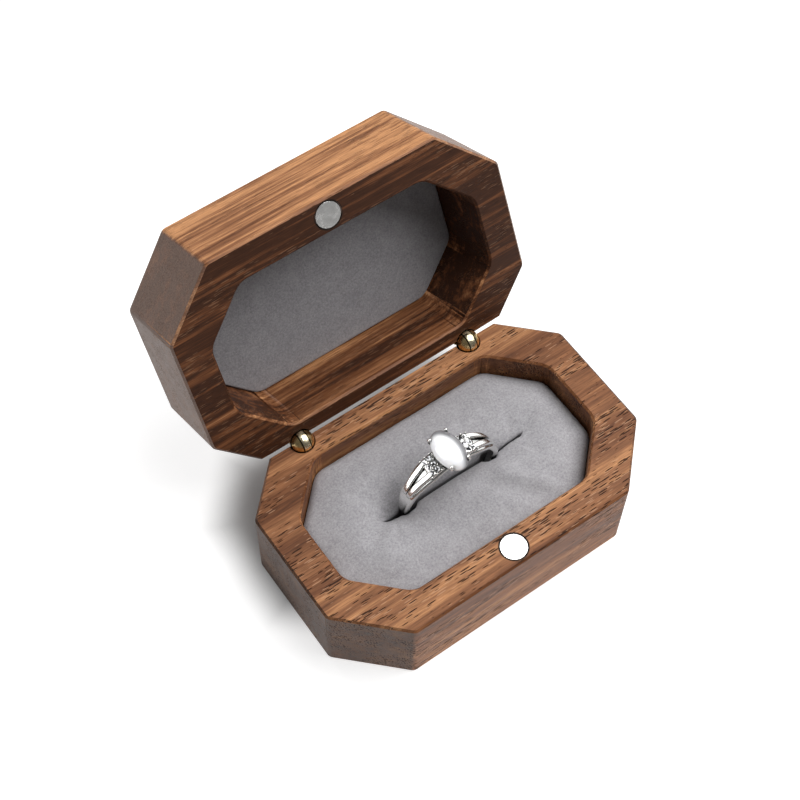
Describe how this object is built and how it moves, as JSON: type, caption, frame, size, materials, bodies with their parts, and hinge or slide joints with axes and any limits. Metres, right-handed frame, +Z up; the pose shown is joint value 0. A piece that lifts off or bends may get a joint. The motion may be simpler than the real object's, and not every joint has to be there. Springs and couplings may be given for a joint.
{
  "type": "ring box",
  "caption": "Hinged wooden ring box with eight-sided halves, magnets in the rims, a grey suede cushion with a slit, and a ring standing in it.",
  "frame": {"origin": "centre of the base's underside", "axes": "+Z up, +X along the hinge side, +Y from the front with the magnet towards the hinges"},
  "size_m": [0.07, 0.0779, 0.0567],
  "materials": {
    "walnut": "oiled, satin, fine open grain along the length",
    "suede": "soft short-nap microsuede, matt",
    "foam": "open-cell foam, matt",
    "card": "plain card, matt",
    "brass": "turned and polished",
    "nickel": "nickel plated, bright",
    "silver": "polished",
    "white_stone": "polished milky cabochon",
    "clear_stone": "clear, polished"
  },
  "bodies": {
    "base": {"base_shell": "walnut", "base_magnet": "nickel", "cushion_card": "card", "front_foam": "foam", "rear_foam": "foam", "cushion_suede": "suede", "left_base_barrel": "brass", "right_base_barrel": "brass", "left_hinge_pin": "brass", "right_hinge_pin": "brass"},
    "lid": {"lid_shell": "walnut", "lid_magnet": "nickel", "lid_card": "card", "lid_liner": "suede", "left_lid_barrel": "brass", "right_lid_barrel": "brass"},
    "ring": {"ring_band": "silver", "ring_setting": "silver", "ring_stone": "white_stone", "left_accent_stones": "clear_stone", "right_accent_stones": "clear_stone"}
  },
  "joints": [
    {"name": "lid_hinge", "type": "hinge", "parent": "base", "child": "lid", "pos_m": [0, 0.0201, 0.0186], "axis": [1, 0, 0], "range_deg": [0, 116.5]},
    {"name": "ring_lift", "type": "slide", "parent": "base", "child": "ring", "axis": [0, 0, 1], "range_m": [0, 0.003]}
  ]
}
